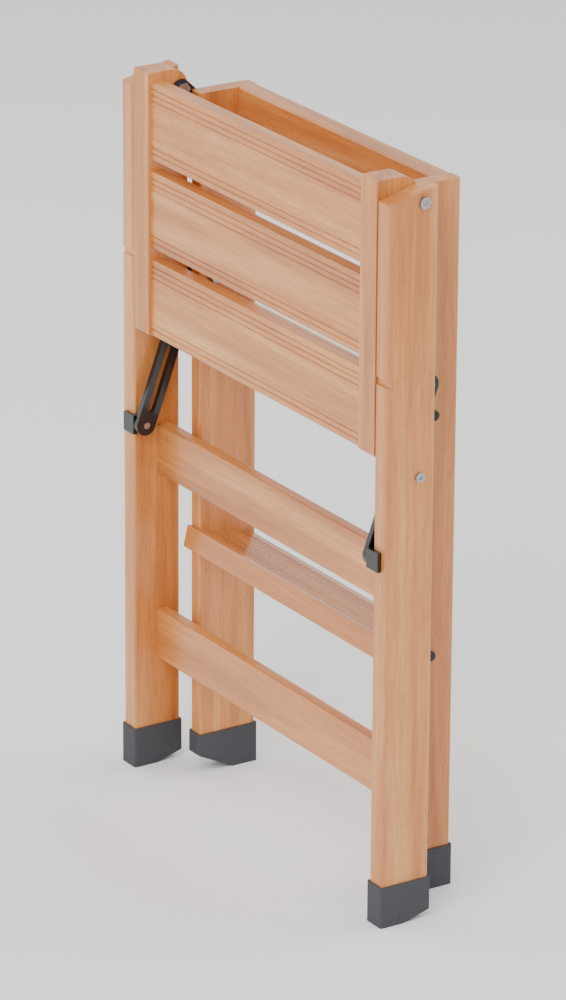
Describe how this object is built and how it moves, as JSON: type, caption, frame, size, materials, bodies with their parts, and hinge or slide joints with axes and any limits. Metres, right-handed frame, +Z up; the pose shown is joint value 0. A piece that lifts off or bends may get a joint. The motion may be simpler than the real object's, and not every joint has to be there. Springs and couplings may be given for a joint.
{
  "type": "folding step ladder",
  "caption": "Folding wooden step ladder with sloping treads, a slatted fold-up platform, side stays and rubber feet.",
  "frame": {"origin": "on the floor, in the middle of the folded ladder's footprint", "axes": "+Z up, +X to the right across the ladder, +Y from the rear frame towards the climbing frame"},
  "size_m": [0.493, 0.122, 0.759],
  "materials": {
    "frame_beech": "satin varnish over warm orange-brown beech",
    "slat_beech": "satin varnish over grooved beech slats",
    "tread_beech": "satin varnish over ribbed beech treads",
    "bare_beech": "unfinished beech dowels inside the joints",
    "rubber_feet": "matte charcoal moulded rubber",
    "stay_plastic": "smooth black moulded plastic",
    "hinge_plates": "black powder-coated steel",
    "steel_bolts": "zinc-plated steel",
    "dark_screws": "black screws"
  },
  "bodies": {
    "climbing_frame": {"climbing_stile_left": "frame_beech", "climbing_stile_right": "frame_beech", "climbing_top_rail": "frame_beech", "lower_tread": "tread_beech", "upper_tread": "tread_beech", "climbing_foot_left": "rubber_feet", "climbing_foot_right": "rubber_feet", "tread_bolts": "dark_screws", "top_rail_dowels": "bare_beech", "hinge_plate_left": "hinge_plates", "hinge_plate_right": "hinge_plates", "hinge_plate_screws": "dark_screws", "hinge_bolt_left": "steel_bolts", "hinge_bolt_right": "steel_bolts", "stay_pivot_bolt_left": "steel_bolts", "stay_pivot_bolt_right": "steel_bolts", "stay_spacer_left": "stay_plastic", "stay_spacer_right": "stay_plastic"},
    "rear_frame": {"rear_leg_left": "frame_beech", "rear_leg_right": "frame_beech", "rear_lower_rail": "frame_beech", "rear_upper_rail": "frame_beech", "rear_foot_left": "rubber_feet", "rear_foot_right": "rubber_feet", "rear_rail_dowels": "bare_beech", "stay_guide_bolt_left": "steel_bolts", "stay_guide_bolt_right": "steel_bolts", "stay_catch_left": "stay_plastic", "stay_catch_right": "stay_plastic", "hinge_washers": "steel_bolts"},
    "platform": {"platform_rail_left": "frame_beech", "platform_rail_right": "frame_beech", "platform_slat_bottom": "slat_beech", "platform_slat_middle": "slat_beech", "platform_slat_top": "slat_beech", "platform_dowels": "bare_beech"},
    "stay_bar_left": {"stay_left": "stay_plastic", "stay_rivet_left": "steel_bolts"},
    "stay_bar_right": {"stay_right": "stay_plastic", "stay_rivet_right": "steel_bolts"}
  },
  "joints": [
    {"name": "frame_fold", "type": "hinge", "parent": "climbing_frame", "child": "rear_frame", "pos_m": [0, -0.0185, 0.738], "axis": [-1, 0, 0], "range_deg": [0, 25]},
    {"name": "platform_fold", "type": "hinge", "parent": "climbing_frame", "child": "platform", "pos_m": [0, -0.0185, 0.738], "axis": [-1, 0, 0], "range_deg": [0, 102.5]},
    {"name": "stay_swing_left", "type": "hinge", "parent": "climbing_frame", "child": "stay_bar_left", "pos_m": [0, 0.0095, 0.543], "axis": [-1, 0, 0], "range_deg": [0, 49.76]},
    {"name": "stay_swing_right", "type": "hinge", "parent": "climbing_frame", "child": "stay_bar_right", "pos_m": [0, 0.0095, 0.543], "axis": [-1, 0, 0], "range_deg": [0, 49.76]}
  ],
  "couplings": [
    {"joint": "platform_fold", "follows": "frame_fold", "ratio": 4.0999},
    {"joint": "stay_swing_left", "follows": "frame_fold", "ratio": 1.9903},
    {"joint": "stay_swing_right", "follows": "frame_fold", "ratio": 1.9903}
  ]
}
